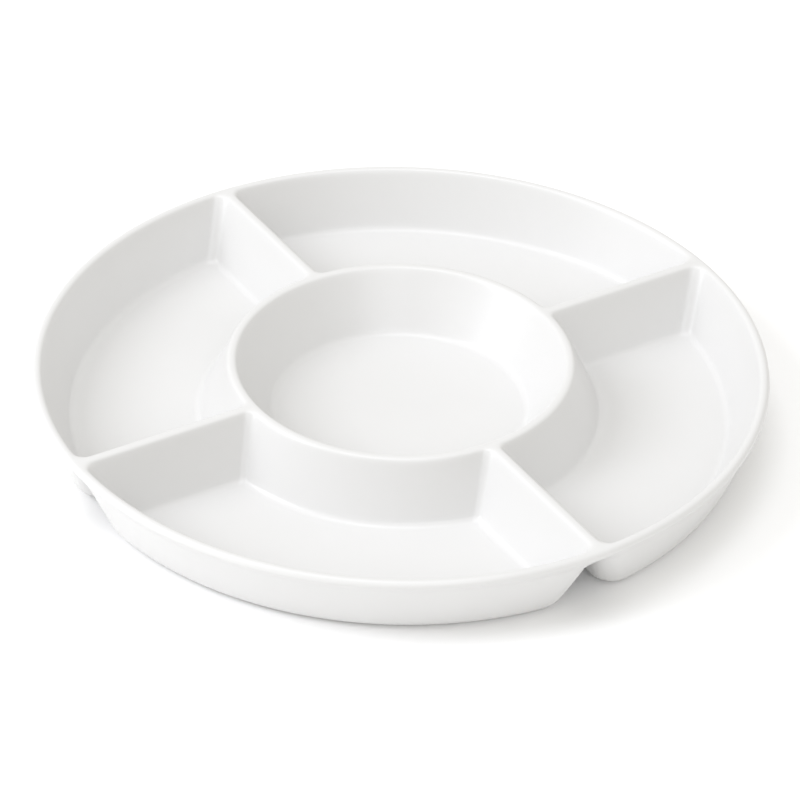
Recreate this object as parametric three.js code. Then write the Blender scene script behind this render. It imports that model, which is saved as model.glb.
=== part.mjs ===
// Chip and dip server: a round moulded tray with a dip bowl in the middle and four curved
// compartments round it. The moulding is a skin that thickens to its floors. The dividers and the ring
// round the bowl are hollow underneath, and each divider ends in an open notch under the rim.
// It is one piece of material. Here it is parted along the middle of its flat top edges into its
// five cups, which stand edge to edge and never move against each other.
//
// Millimetres, +Z up. The origin is on the table under the middle of the bowl, and -Y is the front.
// "Depth" is measured down from the top edges, and "inset" is how far a wall has leaned into its cup.

import * as THREE from "three";

const degrees = THREE.MathUtils.degToRad;

// Driving dimensions
const RIM_RADIUS = 165;
const HEIGHT = 34;
const FLOOR_THICKNESS = 7;
const LAND_WIDTH = 4.2; // flat top edge of the rim and of each divider
const WALL_ACROSS = 4.2; // thickness of a wall at its top, measured level
const BOWL_MOUTH_RADIUS = 74;
const BOWL_LAND_WIDTH = 3.8; // flat top edge round the bowl
const COMPARTMENT_DRAFT = { inside: degrees(25), underside: degrees(20) };
const BOWL_DRAFT = { inside: degrees(31), underside: degrees(26.5) };
const COMPARTMENT_FLOOR_FILLET = 4.2;
const BOWL_FLOOR_FILLET = 5;
const BASE_EDGE_RADIUS = 9;
const TOP_EDGE_BREAK = 0.9; // small rounding along every top edge
const PARTING_GAP = 0.3; // between neighbouring cups

// Plan radii of a compartment's four corners: at its top, at its floor, and outside at its base
const RIM_CORNER = { top: 6, floor: 5, base: 9 };
const BOWL_CORNER = { top: 4.5, floor: 3, base: 8 };
const PARTING_CORNER = 0.4; // where two parting lines meet

// The top web, which joins neighbouring cups over a hollow divider
const WEB_SIDE_DEPTH = 5.2;
const WEB_UNDERSIDE_DEPTH = 6.6;

const CUP_DEPTH = HEIGHT - FLOOR_THICKNESS;
const QUARTER_TURN = Math.PI / 2;
const HALF_QUARTER = QUARTER_TURN / 2; // from a compartment's middle to the dividers beside it
const SQUARE_TO_DIVIDER = HALF_QUARTER + QUARTER_TURN;

// Facets
const RIM_ARC_STEPS = 14;
const BOWL_ARC_STEPS = 12;
const CORNER_STEPS = 4;
const FILLET_STEPS = 3;
const BOWL_STEPS = 56;

// How far a wall that leans by the draft angle has moved into the cup at this depth.
const wallInset = (depth, draft) => depth * Math.tan(draft);

// The rounded foot of a drafted wall, as { inset, depth } steps from the wall down to the floor.
function filletSteps(floorDepth, radius, draft) {
  const centreDepth = floorDepth - radius;
  const wallEndDepth = centreDepth + radius * Math.sin(draft);
  const centreInset = wallInset(wallEndDepth, draft) + radius * Math.cos(draft);
  return Array.from({ length: FILLET_STEPS + 1 }, (_, step) => {
    const angle = THREE.MathUtils.lerp(draft, QUARTER_TURN, step / FILLET_STEPS);
    return {
      inset: centreInset - radius * Math.cos(angle),
      depth: centreDepth + radius * Math.sin(angle),
    };
  });
}

// Polar angle of a rounded corner's centre, which lies clearance away from the divider's middle line.
const cornerAngle = (distance, clearance) => HALF_QUARTER - Math.asin(clearance / distance);

// The plan of one compartment at one level, counter-clockwise, with the compartment's middle along
// +X: an arc along the rim, an arc along the bowl, two straight sides and four rounded corners.
// rim and bowl are radii, and side is the distance of a straight side from its divider's middle.
function sectorOutline({ rim, bowl, side, rimCorner, bowlCorner }) {
  const rimReach = rim - rimCorner;
  const bowlReach = bowl + bowlCorner;
  const rimAngle = cornerAngle(rimReach, side + rimCorner);
  const bowlAngle = cornerAngle(bowlReach, side + bowlCorner);

  const corner = (reach, angle, radius, start, end) =>
    new THREE.EllipseCurve(
      reach * Math.cos(angle), reach * Math.sin(angle), radius, radius, start, end,
    ).getPoints(CORNER_STEPS);
  const rimArc = new THREE.EllipseCurve(0, 0, rim, rim, -rimAngle, rimAngle);
  const bowlArc = new THREE.EllipseCurve(0, 0, bowl, bowl, bowlAngle, -bowlAngle, true);

  // A point shared by two arcs is kept once, and a straight side runs between two kept points.
  return [
    ...rimArc.getPoints(RIM_ARC_STEPS).slice(0, -1),
    ...corner(rimReach, rimAngle, rimCorner, rimAngle, SQUARE_TO_DIVIDER),
    ...corner(bowlReach, bowlAngle, bowlCorner, SQUARE_TO_DIVIDER, Math.PI + bowlAngle).slice(0, -1),
    ...bowlArc.getPoints(BOWL_ARC_STEPS).slice(0, -1),
    ...corner(bowlReach, -bowlAngle, bowlCorner, Math.PI - bowlAngle, 2 * Math.PI - SQUARE_TO_DIVIDER),
    ...corner(
      rimReach, -rimAngle, rimCorner, 2 * Math.PI - SQUARE_TO_DIVIDER, 2 * Math.PI - rimAngle,
    ).slice(0, -1),
  ];
}

// One level of the compartment's inside: the walls have leaned in by inset.
function insideLevel({ inset, depth }, floorInset) {
  const progress = THREE.MathUtils.clamp(inset / floorInset, 0, 1);
  return {
    depth,
    rim: RIM_RADIUS - LAND_WIDTH - inset,
    bowl: BOWL_MOUTH_RADIUS + BOWL_LAND_WIDTH + inset,
    side: LAND_WIDTH / 2 + inset,
    rimCorner: THREE.MathUtils.lerp(RIM_CORNER.top, RIM_CORNER.floor, progress),
    bowlCorner: THREE.MathUtils.lerp(BOWL_CORNER.top, BOWL_CORNER.floor, progress),
  };
}

// One level of its underside, which starts one wall thickness outside the inside's top.
function undersideLevel({ inset, depth }, baseInset) {
  const progress = THREE.MathUtils.clamp(inset / baseInset, 0, 1);
  return {
    depth,
    rim: RIM_RADIUS - inset,
    bowl: BOWL_MOUTH_RADIUS + BOWL_LAND_WIDTH - WALL_ACROSS + inset,
    side: LAND_WIDTH / 2 - WALL_ACROSS + inset,
    rimCorner: THREE.MathUtils.lerp(RIM_CORNER.top + WALL_ACROSS, RIM_CORNER.base, progress),
    bowlCorner: THREE.MathUtils.lerp(BOWL_CORNER.top + WALL_ACROSS, BOWL_CORNER.base, progress),
  };
}

// The levels of a whole compartment, from the floor up the inside, over the top edge and down the
// underside to the base.
function compartmentLevels() {
  const draft = COMPARTMENT_DRAFT;
  const inside = filletSteps(CUP_DEPTH, COMPARTMENT_FLOOR_FILLET, draft.inside).reverse();
  const floorInset = inside[0].inset;
  const brokenEdge = wallInset(TOP_EDGE_BREAK, draft.inside);
  inside.push({ inset: brokenEdge, depth: TOP_EDGE_BREAK });
  inside.push({ inset: -TOP_EDGE_BREAK / 2, depth: 0 });

  // The straight parting faces, from the top edge down to the underside of the web.
  const parting = (rim, depth) => ({
    depth,
    rim,
    bowl: BOWL_MOUTH_RADIUS + (BOWL_LAND_WIDTH + PARTING_GAP) / 2,
    side: PARTING_GAP / 2,
    rimCorner: PARTING_CORNER,
    bowlCorner: PARTING_CORNER,
  });
  const webInset = wallInset(WEB_SIDE_DEPTH - TOP_EDGE_BREAK, draft.underside);

  const underside = filletSteps(HEIGHT, BASE_EDGE_RADIUS, draft.underside);
  const baseInset = underside.at(-1).inset;
  const webUnderside = wallInset(WEB_UNDERSIDE_DEPTH, draft.underside);
  underside.unshift({ inset: webUnderside + PARTING_GAP, depth: WEB_UNDERSIDE_DEPTH });

  return [
    ...inside.map((step) => insideLevel(step, floorInset)),
    parting(RIM_RADIUS - TOP_EDGE_BREAK, 0),
    parting(RIM_RADIUS, TOP_EDGE_BREAK),
    parting(RIM_RADIUS - webInset, WEB_SIDE_DEPTH),
    ...underside.map((step) => undersideLevel(step, baseInset)),
  ];
}

// A closed skin through a stack of outlines with equal numbers of points, closed by a flat face
// inside the first outline, which faces up, and one inside the last, which faces down.
function skinThrough(levels) {
  const outlines = levels.map(sectorOutline);
  const count = outlines[0].length;
  const positions = outlines.flatMap((outline, level) =>
    outline.flatMap((point) => [point.x, point.y, HEIGHT - levels[level].depth]));

  const triangles = [];
  for (let level = 0; level < levels.length - 1; level += 1) {
    for (let i = 0; i < count; i += 1) {
      const next = (i + 1) % count;
      const here = level * count;
      const there = here + count;
      triangles.push(here + i, there + i, there + next);
      triangles.push(here + i, there + next, here + next);
    }
  }
  const last = (levels.length - 1) * count;
  for (const [a, b, c] of THREE.ShapeUtils.triangulateShape(outlines[0], [])) {
    triangles.push(a, b, c);
  }
  for (const [a, b, c] of THREE.ShapeUtils.triangulateShape(outlines.at(-1), [])) {
    triangles.push(last + a, last + c, last + b);
  }

  const geometry = new THREE.BufferGeometry();
  geometry.setAttribute("position", new THREE.Float32BufferAttribute(positions, 3));
  geometry.setIndex(triangles);
  geometry.computeVertexNormals();
  return geometry;
}

// The dip bowl is turned round the middle axis: base, outer wall, top edge, inner wall, floor.
function dipBowlGeometry() {
  const partingRadius = BOWL_MOUTH_RADIUS + (BOWL_LAND_WIDTH - PARTING_GAP) / 2;
  const outerWall = BOWL_MOUTH_RADIUS + WALL_ACROSS;
  const webDepth = (outerWall - partingRadius) / Math.tan(BOWL_DRAFT.underside);
  const toPoint = (radius, depth) => new THREE.Vector2(radius, HEIGHT - depth);

  const underside = filletSteps(HEIGHT, BASE_EDGE_RADIUS, BOWL_DRAFT.underside)
    .reverse()
    .map(({ inset, depth }) => toPoint(outerWall - inset, depth));
  const inside = filletSteps(CUP_DEPTH, BOWL_FLOOR_FILLET, BOWL_DRAFT.inside)
    .map(({ inset, depth }) => toPoint(BOWL_MOUTH_RADIUS - inset, depth));
  const brokenEdge = wallInset(TOP_EDGE_BREAK, BOWL_DRAFT.inside);

  const profile = [
    toPoint(0, HEIGHT),
    ...underside,
    toPoint(partingRadius, webDepth),
    toPoint(partingRadius, 0),
    toPoint(BOWL_MOUTH_RADIUS + TOP_EDGE_BREAK / 2, 0),
    toPoint(BOWL_MOUTH_RADIUS - brokenEdge, TOP_EDGE_BREAK),
    ...inside,
    toPoint(0, CUP_DEPTH),
  ];
  return new THREE.LatheGeometry(profile, BOWL_STEPS).rotateX(QUARTER_TURN);
}

function whiteMelamine() {
  return new THREE.MeshStandardMaterial({ color: 0xf6f6f4, roughness: 0.22, metalness: 0 });
}

function buildServer() {
  const server = new THREE.Group();

  const bowl = new THREE.Mesh(dipBowlGeometry(), whiteMelamine());
  bowl.name = "centre_dip_bowl";
  server.add(bowl);

  const compartment = skinThrough(compartmentLevels());
  ["right", "back", "left", "front"].forEach((place, quarter) => {
    const cup = new THREE.Mesh(compartment, whiteMelamine());
    cup.name = `${place}_compartment`;
    cup.rotation.z = quarter * QUARTER_TURN;
    server.add(cup);
  });
  return server;
}

export default buildServer();
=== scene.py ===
import math
from collections import namedtuple

import bmesh
import bpy
from mathutils import Matrix, Vector


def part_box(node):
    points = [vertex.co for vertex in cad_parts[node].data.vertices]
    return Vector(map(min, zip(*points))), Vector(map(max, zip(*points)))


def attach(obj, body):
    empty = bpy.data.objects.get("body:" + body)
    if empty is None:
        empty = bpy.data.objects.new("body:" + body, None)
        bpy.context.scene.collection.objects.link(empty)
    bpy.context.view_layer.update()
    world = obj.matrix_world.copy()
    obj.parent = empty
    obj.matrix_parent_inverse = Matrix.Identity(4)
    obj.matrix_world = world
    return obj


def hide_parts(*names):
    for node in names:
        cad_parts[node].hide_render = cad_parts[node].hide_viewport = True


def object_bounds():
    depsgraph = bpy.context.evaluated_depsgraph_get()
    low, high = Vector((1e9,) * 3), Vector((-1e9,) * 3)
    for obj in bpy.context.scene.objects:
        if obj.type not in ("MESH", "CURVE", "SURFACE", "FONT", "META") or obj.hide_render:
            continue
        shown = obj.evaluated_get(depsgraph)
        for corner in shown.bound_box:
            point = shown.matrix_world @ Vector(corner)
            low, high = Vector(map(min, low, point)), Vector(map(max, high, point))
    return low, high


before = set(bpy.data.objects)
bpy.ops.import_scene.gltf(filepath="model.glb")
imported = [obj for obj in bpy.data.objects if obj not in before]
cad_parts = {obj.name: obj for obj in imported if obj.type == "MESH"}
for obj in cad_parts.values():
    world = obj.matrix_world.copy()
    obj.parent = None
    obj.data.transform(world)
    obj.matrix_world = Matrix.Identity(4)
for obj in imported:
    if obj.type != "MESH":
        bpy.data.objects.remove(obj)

# A chip and dip server: one white melamine moulding with a dip bowl in the middle and four curved
# compartments round it. The skin is one closed mesh, which stands for all five CAD nodes. It is
# built as rings of points that run over the top edges, down the walls and across the floors, above
# and below, and neighbouring parts share the rings where they meet.
# "Depth" is measured down from the top edges, and "inset" is how far a wall has leaned into its cup.

# Sizes, in metres
CAD_LOW, CAD_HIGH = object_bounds()
BOWL_NODE = "centre_dip_bowl"
BOWL_NODE_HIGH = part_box(BOWL_NODE)[1]
COMPARTMENT_NODES = [f"{place}_compartment" for place in ("right", "back", "left", "front")]
PARTING_GAP = 0.0003  # between neighbouring CAD nodes, closed here

RIM_RADIUS = CAD_HIGH.x
HEIGHT = CAD_HIGH.z
FLOOR_THICKNESS = 0.007
CUP_DEPTH = HEIGHT - FLOOR_THICKNESS
LAND_WIDTH = 0.0042  # top edge of the rim and of each divider
WALL_ACROSS = 0.0042  # thickness of a wall at its top, measured level
BOWL_LAND_WIDTH = 0.0038
BOWL_LAND_MIDDLE = BOWL_NODE_HIGH.x + PARTING_GAP / 2
BOWL_MOUTH_RADIUS = BOWL_LAND_MIDDLE - BOWL_LAND_WIDTH / 2
COMPARTMENT_INSIDE_DRAFT = math.radians(25)
COMPARTMENT_UNDERSIDE_DRAFT = math.radians(20)
BOWL_INSIDE_DRAFT = math.radians(31)
BOWL_UNDERSIDE_DRAFT = math.radians(26.5)
COMPARTMENT_FLOOR_FILLET = 0.0042
BOWL_FLOOR_FILLET = 0.005
BASE_EDGE_RADIUS = 0.009
TOP_EDGE_RADIUS = 0.0022
RIM_LAND_EDGE = RIM_RADIUS - TOP_EDGE_RADIUS

# Plan radii of a compartment's corners: at its top, at its floor, and outside at its base
RIM_CORNER_TOP, RIM_CORNER_FLOOR, RIM_CORNER_BASE = 0.006, 0.005, 0.009
BOWL_CORNER_TOP, BOWL_CORNER_FLOOR, BOWL_CORNER_BASE = 0.0045, 0.003, 0.008

# Underside: depth of the rim's lower edge over a notch, of the hollows' ceilings, and of the level
# where a compartment's walls have parted from the rim and from each other
NOTCH_EDGE_DEPTH = 0.0054
CEILING_DEPTH = 0.0072
WALLS_START_DEPTH = 0.0105

QUARTERS = len(COMPARTMENT_NODES)
QUARTER_TURN = math.pi / 2
HALF_QUARTER = QUARTER_TURN / 2  # from a compartment's middle to the dividers beside it

# Mesh density, before one level of subdivision
ARC_STEPS = 14  # along half of a rim arc or bowl arc
CORNER_STEPS = 6
HALF_CORNER_STEPS = CORNER_STEPS // 2
SIDE_STEPS = 8
EDGE_STEPS = 3
WALL_STEPS = 3
PARTING_STEPS = 4
FLOOR_FILLET_STEPS = 5
BASE_FILLET_STEPS = 4
DISC_STEPS = 5
MERGE_DISTANCE = 0.00001

# Camera, by its azimuth and elevation round the tray
CAMERA_AZIMUTH = math.radians(13.06)
CAMERA_ELEVATION = math.radians(35.04)
CAMERA_ROLL = math.radians(1.39)
CAMERA_DISTANCE = 1.6367
CAMERA_LENS = 167.3
CAMERA_REACH = 100
AIM_FORWARD = 0.0332  # the view's middle lies this far in front of the tray's middle

# Studio: a bright room with softboxes on the left, in front and overhead, over a white floor that
# glows slightly, like a light table. Turns are counted from the viewer's right.
ROOM_STRENGTH = 0.71
ROOM_COLOUR = (1, 0.98, 0.925, 1)
FLOOR_REACH = 12
FLOOR_SQUARES = 8
FLOOR_COLOUR = (0.95, 0.95, 0.95, 1)
FLOOR_GLOW = 0.025
SOFTBOX_DISTANCE = 4
SOFTBOX_SIZE = 2
SOFTBOX_COLOUR = (0.98, 1, 1.06)
Softbox = namedtuple("Softbox", "name turn elevation power")
SOFTBOXES = [
    Softbox("left_softbox", math.radians(188), math.radians(40), power=62),
    Softbox("low_left_softbox", math.radians(188), math.radians(25), power=24),
    Softbox("front_softbox", math.radians(285), math.radians(40), power=24),
    Softbox("top_softbox", math.radians(188), math.radians(85), power=37),
]

# Materials: a noise's scale is its cells per metre, and a span is a lowest and a highest value
Noise = namedtuple("Noise", "scale detail")
Span = namedtuple("Span", "low high")
CLOUDING = Noise(scale=25, detail=3)
MELAMINE_COLOUR = Span(low=(0.697, 0.695, 0.69, 1), high=(0.717, 0.715, 0.71, 1))
POLISH = Noise(scale=90, detail=4)
MELAMINE_ROUGHNESS = Span(low=0.27, high=0.35)
MELAMINE_IOR = 1.5
WAVINESS = Noise(scale=35, detail=0)
WAVINESS_STRENGTH = 0.3
WAVINESS_DEPTH = 0.0001
PAPER = Noise(scale=40, detail=3)
PAPER_ROUGHNESS = Span(low=0.8, high=0.95)
PLAIN_WHITE = (1, 1, 1, 1)

# A compartment's outline at one depth: the radii of its arcs and corners, and how far its sides
# lie from the middle lines of the dividers
Level = namedtuple("Level", "rim bowl side rim_corner bowl_corner")


def lerp(start, end, share):
    return start + (end - start) * share


def shares(steps):
    """Steps + 1 even shares from 0 to 1."""
    return [step / steps for step in range(steps + 1)]


def polar(radius, angle):
    return Vector((radius * math.cos(angle), radius * math.sin(angle)))


def seen(right, away, up):
    """A direction given as the camera sees it, in the row frame."""
    return Matrix.Rotation(CAMERA_AZIMUTH, 3, "Z") @ Vector((right, away, up))


# Profiles, as lists of (inset, depth)

def wall_inset(depth, draft):
    return depth * math.tan(draft)


def edge_profile(radius, draft):
    """A rounded top edge, from the flat land to the wall that leans by draft."""
    centre = -radius * (1 - math.sin(draft)) / math.cos(draft)
    turns = [lerp(0, QUARTER_TURN - draft, share) for share in shares(EDGE_STEPS)]
    return [(centre + radius * math.sin(t), radius * (1 - math.cos(t))) for t in turns]


def fillet_profile(floor_depth, radius, draft, steps):
    """The rounded foot of a wall, from the wall down to the floor."""
    centre_depth = floor_depth - radius
    wall_end = centre_depth + radius * math.sin(draft)
    centre = wall_inset(wall_end, draft) + radius * math.cos(draft)
    turns = [lerp(draft, QUARTER_TURN, share) for share in shares(steps)]
    return [(centre - radius * math.cos(t), centre_depth + radius * math.sin(t)) for t in turns]


def wall_between(upper, lower):
    """Even steps along a straight wall, without its two ends."""
    return [
        (lerp(upper[0], lower[0], share), lerp(upper[1], lower[1], share))
        for share in shares(WALL_STEPS)[1:-1]
    ]


def inside_profile(draft, floor_fillet):
    edge = edge_profile(TOP_EDGE_RADIUS, draft)
    fillet = fillet_profile(CUP_DEPTH, floor_fillet, draft, FLOOR_FILLET_STEPS)
    return edge + wall_between(edge[-1], fillet[0]) + fillet


def underside_profile(draft):
    start = (wall_inset(WALLS_START_DEPTH, draft), WALLS_START_DEPTH)
    fillet = fillet_profile(HEIGHT, BASE_EDGE_RADIUS, draft, BASE_FILLET_STEPS)
    return [start] + wall_between(start, fillet[0]) + fillet


def parting_turns():
    """A hollow's ceiling rounds down into its walls in these even turns, without the last."""
    return [lerp(0, QUARTER_TURN, share) for share in shares(PARTING_STEPS)[:-1]]


# Plans of a compartment, with its middle along +X. A half outline runs from the middle of the rim
# round one side to the middle of the bowl, and every outline has the same number of points.

def corner_angle(distance, clearance):
    """Polar angle of a corner's centre, which lies clearance away from the divider's middle."""
    return HALF_QUARTER - math.asin(clearance / distance)


# Where the arcs end and the corners begin at a compartment's top
RIM_TURN = corner_angle(
    RIM_RADIUS - LAND_WIDTH - RIM_CORNER_TOP, LAND_WIDTH / 2 + RIM_CORNER_TOP
)
BOWL_TURN = corner_angle(
    BOWL_MOUTH_RADIUS + BOWL_LAND_WIDTH + BOWL_CORNER_TOP, LAND_WIDTH / 2 + BOWL_CORNER_TOP
)


def whole_outline(half):
    mirrored = [Vector((p.x, -p.y)) for p in reversed(half[1:-1])]
    return half + mirrored


def rounded_outline(level):
    rim_reach = level.rim - level.rim_corner
    bowl_reach = level.bowl + level.bowl_corner
    rim_angle = corner_angle(rim_reach, level.side + level.rim_corner)
    bowl_angle = corner_angle(bowl_reach, level.side + level.bowl_corner)
    side_angle = HALF_QUARTER + QUARTER_TURN

    def corner(reach, angle, radius, start, end):
        centre = polar(reach, angle)
        return [centre + polar(radius, lerp(start, end, s)) for s in shares(CORNER_STEPS)]

    rim_arc = [polar(level.rim, rim_angle * s) for s in shares(ARC_STEPS)]
    rim_corner = corner(rim_reach, rim_angle, level.rim_corner, rim_angle, side_angle)
    bowl_corner = corner(
        bowl_reach, bowl_angle, level.bowl_corner, side_angle, math.pi + bowl_angle
    )
    side = [rim_corner[-1].lerp(bowl_corner[0], s) for s in shares(SIDE_STEPS)]
    bowl_arc = [polar(level.bowl, bowl_angle * (1 - s)) for s in shares(ARC_STEPS)]
    return whole_outline(
        rim_arc[:-1] + rim_corner[:-1] + side[:-1] + bowl_corner[:-1] + bowl_arc
    )


def border_outline(rim, bowl):
    """The outline that neighbours share: two arcs, and the middle lines of two dividers."""
    stations = [
        (rim, 0),
        (rim, RIM_TURN),
        (rim, HALF_QUARTER),
        (rim - RIM_CORNER_TOP, HALF_QUARTER),
        (bowl + BOWL_CORNER_TOP, HALF_QUARTER),
        (bowl, HALF_QUARTER),
        (bowl, BOWL_TURN),
        (bowl, 0),
    ]
    rim_steps = [ARC_STEPS, HALF_CORNER_STEPS, HALF_CORNER_STEPS]
    bowl_steps = reversed(rim_steps)
    half = []
    for start, end, steps in zip(stations, stations[1:], [*rim_steps, SIDE_STEPS, *bowl_steps]):
        for share in shares(steps)[:-1]:
            half.append(polar(lerp(start[0], end[0], share), lerp(start[1], end[1], share)))
    half.append(polar(*stations[-1]))
    return whole_outline(half)


def inside_level(inset, floor_inset):
    progress = min(max(inset / floor_inset, 0), 1)
    return Level(
        rim=RIM_RADIUS - LAND_WIDTH - inset,
        bowl=BOWL_MOUTH_RADIUS + BOWL_LAND_WIDTH + inset,
        side=LAND_WIDTH / 2 + inset,
        rim_corner=lerp(RIM_CORNER_TOP, RIM_CORNER_FLOOR, progress),
        bowl_corner=lerp(BOWL_CORNER_TOP, BOWL_CORNER_FLOOR, progress),
    )


def underside_level(inset, base_inset):
    """The underside starts one wall thickness outside the inside's top."""
    progress = min(max(inset / base_inset, 0), 1)
    return Level(
        rim=RIM_RADIUS - inset,
        bowl=BOWL_MOUTH_RADIUS + BOWL_LAND_WIDTH - WALL_ACROSS + inset,
        side=LAND_WIDTH / 2 - WALL_ACROSS + inset,
        rim_corner=lerp(RIM_CORNER_TOP + WALL_ACROSS, RIM_CORNER_BASE, progress),
        bowl_corner=lerp(BOWL_CORNER_TOP + WALL_ACROSS, BOWL_CORNER_BASE, progress),
    )


def at_depth(outline, depth):
    return [Vector((p.x, p.y, HEIGHT - depth)) for p in outline]


def circle_angles(turn):
    """The polar angles at which all rings round the middle have their points."""
    half = [turn * s for s in shares(ARC_STEPS)[:-1]]
    half += [lerp(turn, HALF_QUARTER, s) for s in shares(HALF_CORNER_STEPS)]
    quarter = [-angle for angle in reversed(half[1:])] + half[:-1]
    return [angle + turns * QUARTER_TURN for turns in range(QUARTERS) for angle in quarter]


def circle_ring(radius, depth, turn):
    return at_depth([polar(radius, angle) for angle in circle_angles(turn)], depth)


# Mesh parts

def join_rings(mesh, rings):
    """Quads between each ring of points and the next. Returns the last ring's vertices."""
    made = [[mesh.verts.new(point) for point in ring] for ring in rings]
    for ring, next_ring in zip(made, made[1:]):
        for i, vertex in enumerate(ring):
            after = (i + 1) % len(ring)
            mesh.faces.new((vertex, ring[after], next_ring[after], next_ring[i]))
    return made[-1]


def fill_sector(mesh, outline):
    """A level grid of quads inside a compartment's outline, blended from its four sides."""
    count = len(outline)
    rim_corner = ARC_STEPS + HALF_CORNER_STEPS
    bowl_corner = rim_corner + CORNER_STEPS + SIDE_STEPS
    columns, rows = 2 * rim_corner, bowl_corner - rim_corner
    along_rim = [outline[(i - rim_corner) % count] for i in range(columns + 1)]
    along_bowl = [outline[(-bowl_corner - i) % count] for i in range(columns + 1)]
    first_side = [outline[(-rim_corner - j) % count] for j in range(rows + 1)]
    last_side = [outline[rim_corner + j] for j in range(rows + 1)]

    def blended(i, j):
        u, v = i / columns, j / rows
        between_arcs = along_rim[i].co.lerp(along_bowl[i].co, v)
        between_sides = first_side[j].co.lerp(last_side[j].co, u)
        rim_chord = along_rim[0].co.lerp(along_rim[-1].co, u)
        bowl_chord = along_bowl[0].co.lerp(along_bowl[-1].co, u)
        return between_arcs + between_sides - rim_chord.lerp(bowl_chord, v)

    grid = [along_rim]
    for j in range(1, rows):
        inner = [mesh.verts.new(blended(i, j)) for i in range(1, columns)]
        grid.append([first_side[j]] + inner + [last_side[j]])
    grid.append(along_bowl)
    for row, next_row in zip(grid, grid[1:]):
        for i in range(columns):
            mesh.faces.new((row[i], row[i + 1], next_row[i + 1], next_row[i]))


def fill_disc(mesh, ring, depth):
    """Rings of quads from a circle to the middle."""
    radius = ring[0].co.xy.length
    inner = join_rings(
        mesh,
        [
            circle_ring(radius * (1 - share), depth, BOWL_TURN)
            for share in shares(DISC_STEPS)[:-1]
        ],
    )
    middle = mesh.verts.new((0, 0, HEIGHT - depth))
    for i, vertex in enumerate(inner):
        mesh.faces.new((vertex, inner[(i + 1) % len(inner)], middle))


def add_compartment_inside(mesh):
    profile = inside_profile(COMPARTMENT_INSIDE_DRAFT, COMPARTMENT_FLOOR_FILLET)
    floor_inset, floor_depth = profile[-1]
    rings = [at_depth(border_outline(RIM_LAND_EDGE, BOWL_LAND_MIDDLE), 0)]
    for inset, depth in profile:
        rings.append(at_depth(rounded_outline(inside_level(inset, floor_inset)), depth))
    fill_sector(mesh, join_rings(mesh, rings))


def whole_weights(corner):
    """Weights for each point of an outline: 0 on the rim, rising at its corners, 1 on the rest."""
    half = [0] * ARC_STEPS + corner + [1] * (SIDE_STEPS + CORNER_STEPS + ARC_STEPS)
    return half + half[-2:0:-1]


def parting_rings(border, walls_start):
    """From the shared border down to where the walls have parted. The rim goes straight on down,
    and the hollows' ceilings start level and round down into the walls."""
    along_divider = whole_weights([0] * HALF_CORNER_STEPS + shares(HALF_CORNER_STEPS))
    away_from_rim = whole_weights(shares(HALF_CORNER_STEPS) + [1] * HALF_CORNER_STEPS)
    rings = []
    for turn in parting_turns():
        across, down = math.sin(turn), 1 - math.cos(turn)
        ring = []
        for start, end, inward, hollow in zip(border, walls_start, along_divider, away_from_rim):
            start_depth = lerp(NOTCH_EDGE_DEPTH, CEILING_DEPTH, inward)
            depth = lerp(start_depth, WALLS_START_DEPTH, lerp(across, down, hollow))
            place = start.lerp(end, across)
            ring.append(Vector((place.x, place.y, HEIGHT - depth)))
        rings.append(ring)
    return rings


def add_compartment_underside(mesh):
    profile = underside_profile(COMPARTMENT_UNDERSIDE_DRAFT)
    base_inset = profile[-1][0]
    outlines = [rounded_outline(underside_level(inset, base_inset)) for inset, _ in profile]
    notch_inset = wall_inset(NOTCH_EDGE_DEPTH, COMPARTMENT_UNDERSIDE_DRAFT)
    border = border_outline(RIM_RADIUS - notch_inset, BOWL_LAND_MIDDLE)
    rings = parting_rings(border, outlines[0])
    rings += [at_depth(outline, depth) for outline, (_, depth) in zip(outlines, profile)]
    fill_sector(mesh, join_rings(mesh, rings))


def add_bowl_inside(mesh):
    profile = inside_profile(BOWL_INSIDE_DRAFT, BOWL_FLOOR_FILLET)
    rings = [circle_ring(BOWL_LAND_MIDDLE, 0, BOWL_TURN)]
    rings += [circle_ring(BOWL_MOUTH_RADIUS - inset, depth, BOWL_TURN) for inset, depth in profile]
    fill_disc(mesh, join_rings(mesh, rings), CUP_DEPTH)


def add_bowl_underside(mesh):
    profile = underside_profile(BOWL_UNDERSIDE_DRAFT)
    outer_wall = BOWL_MOUTH_RADIUS + WALL_ACROSS
    walls_start = outer_wall - profile[0][0]
    rings = [
        circle_ring(
            lerp(BOWL_LAND_MIDDLE, walls_start, math.sin(turn)),
            lerp(CEILING_DEPTH, WALLS_START_DEPTH, 1 - math.cos(turn)),
            BOWL_TURN,
        )
        for turn in parting_turns()
    ]
    rings += [circle_ring(outer_wall - inset, depth, BOWL_TURN) for inset, depth in profile]
    fill_disc(mesh, join_rings(mesh, rings), HEIGHT)


def rim_edge_profile():
    """(radius, depth) from the rim's flat top over its rounded edge to its lower edge."""
    full_turn = QUARTER_TURN + COMPARTMENT_UNDERSIDE_DRAFT
    turns = [full_turn * s for s in shares(2 * EDGE_STEPS)]
    rounded = [
        (RIM_RADIUS - TOP_EDGE_RADIUS * (1 - math.sin(t)), TOP_EDGE_RADIUS * (1 - math.cos(t)))
        for t in turns
    ]
    lower_edge = (
        RIM_RADIUS - wall_inset(NOTCH_EDGE_DEPTH, COMPARTMENT_UNDERSIDE_DRAFT),
        NOTCH_EDGE_DEPTH,
    )
    return rounded + [lower_edge]


def add_rim_band(mesh):
    join_rings(
        mesh, [circle_ring(radius, depth, RIM_TURN) for radius, depth in rim_edge_profile()]
    )


def add_in_each_quarter(mesh, add_part):
    for quarter in range(QUARTERS):
        before = set(mesh.verts)
        add_part(mesh)
        bmesh.ops.rotate(
            mesh,
            verts=[vertex for vertex in mesh.verts if vertex not in before],
            matrix=Matrix.Rotation(quarter * QUARTER_TURN, 3, "Z"),
        )


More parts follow.
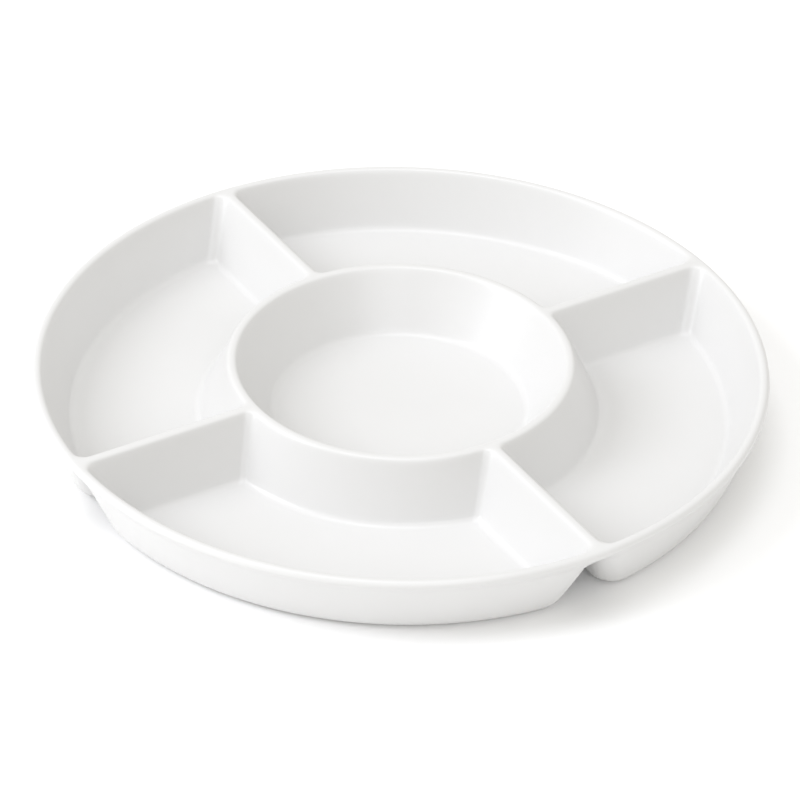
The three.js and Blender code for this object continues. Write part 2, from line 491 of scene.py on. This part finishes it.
def finished_object(name, mesh):
    """A smooth shaded object from a bmesh, in the scene."""
    data = bpy.data.meshes.new(name)
    mesh.to_mesh(data)
    mesh.free()
    data.shade_smooth()
    made = bpy.data.objects.new(name, data)
    bpy.context.scene.collection.objects.link(made)
    return made


def make_tray():
    mesh = bmesh.new()
    add_in_each_quarter(mesh, add_compartment_inside)
    add_in_each_quarter(mesh, add_compartment_underside)
    add_bowl_inside(mesh)
    add_bowl_underside(mesh)
    add_rim_band(mesh)
    bmesh.ops.remove_doubles(mesh, verts=mesh.verts, dist=MERGE_DISTANCE)
    bmesh.ops.recalc_face_normals(mesh, faces=mesh.faces)

    tray = finished_object("serving_tray", mesh)
    subdivision = tray.modifiers.new("soft_moulding", "SUBSURF")
    subdivision.levels = subdivision.render_levels = 1
    return tray


# Materials

def noise(nodes, links, coordinates, kind):
    texture = nodes.new("ShaderNodeTexNoise")
    texture.inputs["Scale"].default_value = kind.scale
    texture.inputs["Detail"].default_value = kind.detail
    links.new(coordinates.outputs["Object"], texture.inputs["Vector"])
    return texture.outputs["Fac"]


def ranged(nodes, links, value, span):
    """The value, from 0 to 1, stretched to run over the span."""
    stretch = nodes.new("ShaderNodeMapRange")
    stretch.inputs["To Min"].default_value = span.low
    stretch.inputs["To Max"].default_value = span.high
    links.new(value, stretch.inputs["Value"])
    return stretch.outputs["Result"]


def white_melamine():
    """Glossy white moulded melamine: faint clouding, and the slight waviness of a pressed skin."""
    material = bpy.data.materials.new("white_melamine")
    material.use_nodes = True
    nodes, links = material.node_tree.nodes, material.node_tree.links
    shader = nodes["Principled BSDF"]
    coordinates = nodes.new("ShaderNodeTexCoord")

    clouding = nodes.new("ShaderNodeMix")
    clouding.data_type = "RGBA"
    clouding.inputs["A"].default_value = MELAMINE_COLOUR.low
    clouding.inputs["B"].default_value = MELAMINE_COLOUR.high
    links.new(noise(nodes, links, coordinates, CLOUDING), clouding.inputs["Factor"])
    links.new(clouding.outputs["Result"], shader.inputs["Base Color"])

    polish = noise(nodes, links, coordinates, POLISH)
    roughness = ranged(nodes, links, polish, MELAMINE_ROUGHNESS)
    links.new(roughness, shader.inputs["Roughness"])
    shader.inputs["IOR"].default_value = MELAMINE_IOR

    waviness = nodes.new("ShaderNodeBump")
    waviness.inputs["Strength"].default_value = WAVINESS_STRENGTH
    waviness.inputs["Distance"].default_value = WAVINESS_DEPTH
    links.new(noise(nodes, links, coordinates, WAVINESS), waviness.inputs["Height"])
    links.new(waviness.outputs["Normal"], shader.inputs["Normal"])
    return material


def floor_white():
    """Matt white paper that glows slightly."""
    material = bpy.data.materials.new("studio_white")
    material.use_nodes = True
    nodes, links = material.node_tree.nodes, material.node_tree.links
    shader = nodes["Principled BSDF"]
    coordinates = nodes.new("ShaderNodeTexCoord")
    shader.inputs["Base Color"].default_value = FLOOR_COLOUR
    shader.inputs["Specular IOR Level"].default_value = 0
    shader.inputs["Emission Color"].default_value = PLAIN_WHITE
    shader.inputs["Emission Strength"].default_value = FLOOR_GLOW
    paper = noise(nodes, links, coordinates, PAPER)
    links.new(ranged(nodes, links, paper, PAPER_ROUGHNESS), shader.inputs["Roughness"])
    return material


# Studio

def make_camera():
    camera = bpy.data.objects.new("camera", bpy.data.cameras.new("camera"))
    bpy.context.scene.collection.objects.link(camera)
    camera.data.lens = CAMERA_LENS
    camera.data.clip_end = CAMERA_REACH
    aim = seen(0, -AIM_FORWARD, HEIGHT)
    back = seen(0, -math.cos(CAMERA_ELEVATION), math.sin(CAMERA_ELEVATION))
    camera.rotation_mode = "QUATERNION"
    camera.location = aim + back * CAMERA_DISTANCE
    upright = (-back).to_track_quat("-Z", "Y")
    camera.rotation_quaternion = upright @ Matrix.Rotation(CAMERA_ROLL, 3, "Z").to_quaternion()
    bpy.context.scene.camera = camera


def make_floor():
    mesh = bmesh.new()
    bmesh.ops.create_grid(
        mesh, x_segments=FLOOR_SQUARES, y_segments=FLOOR_SQUARES, size=FLOOR_REACH
    )
    floor = finished_object("studio_floor", mesh)
    floor.data.materials.append(floor_white())


def make_softbox(softbox):
    """A square area light that faces the tray's middle."""
    light = bpy.data.objects.new(softbox.name, bpy.data.lights.new(softbox.name, "AREA"))
    bpy.context.scene.collection.objects.link(light)
    light.data.size = SOFTBOX_SIZE
    light.data.energy = softbox.power
    light.data.color = SOFTBOX_COLOUR
    level = polar(math.cos(softbox.elevation), softbox.turn)
    place = seen(level.x, level.y, math.sin(softbox.elevation))
    light.location = place * SOFTBOX_DISTANCE
    light.rotation_mode = "QUATERNION"
    light.rotation_quaternion = (-place).to_track_quat("-Z", "Y")


def make_room():
    world = bpy.data.worlds.new("room")
    world.use_nodes = True
    background = world.node_tree.nodes["Background"]
    background.inputs["Color"].default_value = ROOM_COLOUR
    background.inputs["Strength"].default_value = ROOM_STRENGTH
    bpy.context.scene.world = world


def main():
    bpy.context.scene.view_settings.view_transform = "Standard"
    make_camera()
    make_room()
    for softbox in SOFTBOXES:
        make_softbox(softbox)
    make_floor()

    tray = make_tray()
    tray.data.materials.append(white_melamine())
    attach(tray, "root")
    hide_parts(BOWL_NODE, *COMPARTMENT_NODES)


main()
